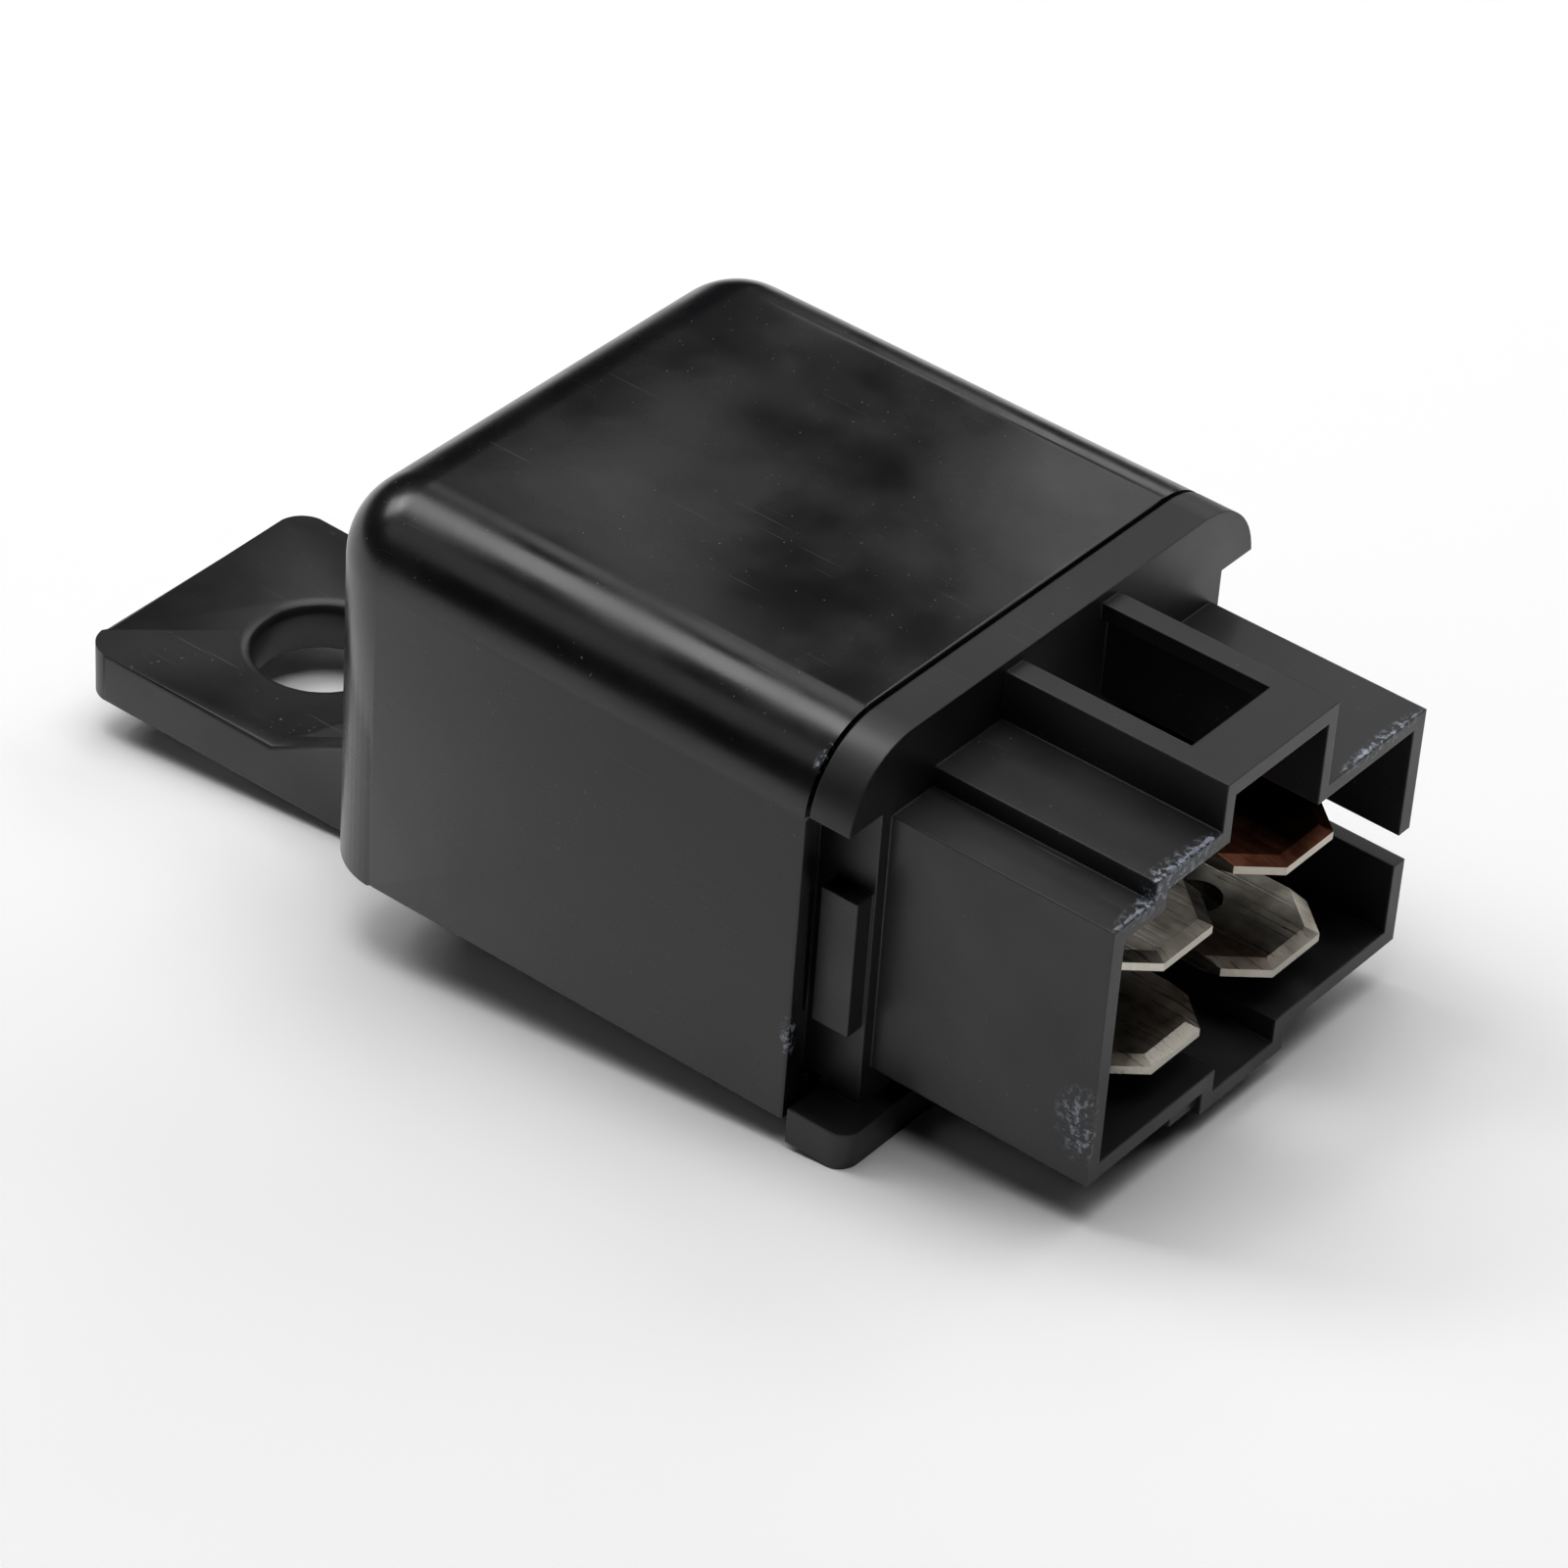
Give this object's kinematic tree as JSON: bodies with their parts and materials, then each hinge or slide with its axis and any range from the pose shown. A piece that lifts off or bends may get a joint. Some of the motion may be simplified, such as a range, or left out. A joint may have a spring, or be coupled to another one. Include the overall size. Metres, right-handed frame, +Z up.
{
  "type": "automotive relay",
  "caption": "Plastic-cased plug-in relay with a slide-on mounting bracket, stepped connector shroud, flat blade terminals and a hinged magnet armature inside.",
  "frame": {"origin": "centre of the mounting hole on the underside of the bracket", "axes": "+X from the bracket towards the connector mouth, +Z up along the mounting hole, +Y to the side of the load blade"},
  "size_m": [0.0604, 0.028, 0.0243],
  "materials": {
    "cover_plastic": "glossy black moulding",
    "bracket_plastic": "satin black moulding",
    "base_plastic": "glossy black moulding",
    "copper_blade": "dull copper alloy",
    "tinned_blade": "tinned copper alloy",
    "magnet_steel": "plated soft iron",
    "bobbin_plastic": "natural nylon",
    "copper_wire": "enamelled copper wire",
    "spring_bronze": "rolled bronze strip",
    "rivet_metal": "peened rivet",
    "contact_silver": "silver alloy",
    "spring_steel": "stamped strip",
    "resistor_body": "lacquered ceramic",
    "tinned_wire": "tinned wire"
  },
  "bodies": {
    "housing": {"cover": "cover_plastic", "bracket": "bracket_plastic", "base": "base_plastic", "load_terminal": "copper_blade", "common_terminal": "tinned_blade", "coil_terminal_upper": "tinned_blade", "coil_terminal_lower": "tinned_blade", "yoke": "magnet_steel", "core": "magnet_steel", "bobbin": "bobbin_plastic", "winding": "copper_wire", "yoke_rivets": "rivet_metal", "fixed_contact": "contact_silver", "backstop": "spring_steel", "terminal_rivet": "rivet_metal", "resistor": "resistor_body", "resistor_leads": "tinned_wire", "coil_lead_upper": "copper_wire", "coil_lead_lower": "copper_wire"},
    "armature_body": {"armature": "magnet_steel", "contact_spring": "spring_bronze", "armature_rivets": "rivet_metal", "moving_contact": "contact_silver"}
  },
  "joints": [
    {"name": "armature_swing", "type": "hinge", "parent": "housing", "child": "armature_body", "pos_m": [0.01735, -0.0102, 0.01444], "axis": [0, 0, -1], "range_deg": [0, 3.5], "stiffness_Nm_per_rad": 0.02, "springref_deg": -2.86, "deforming": ["contact_spring"]}
  ]
}
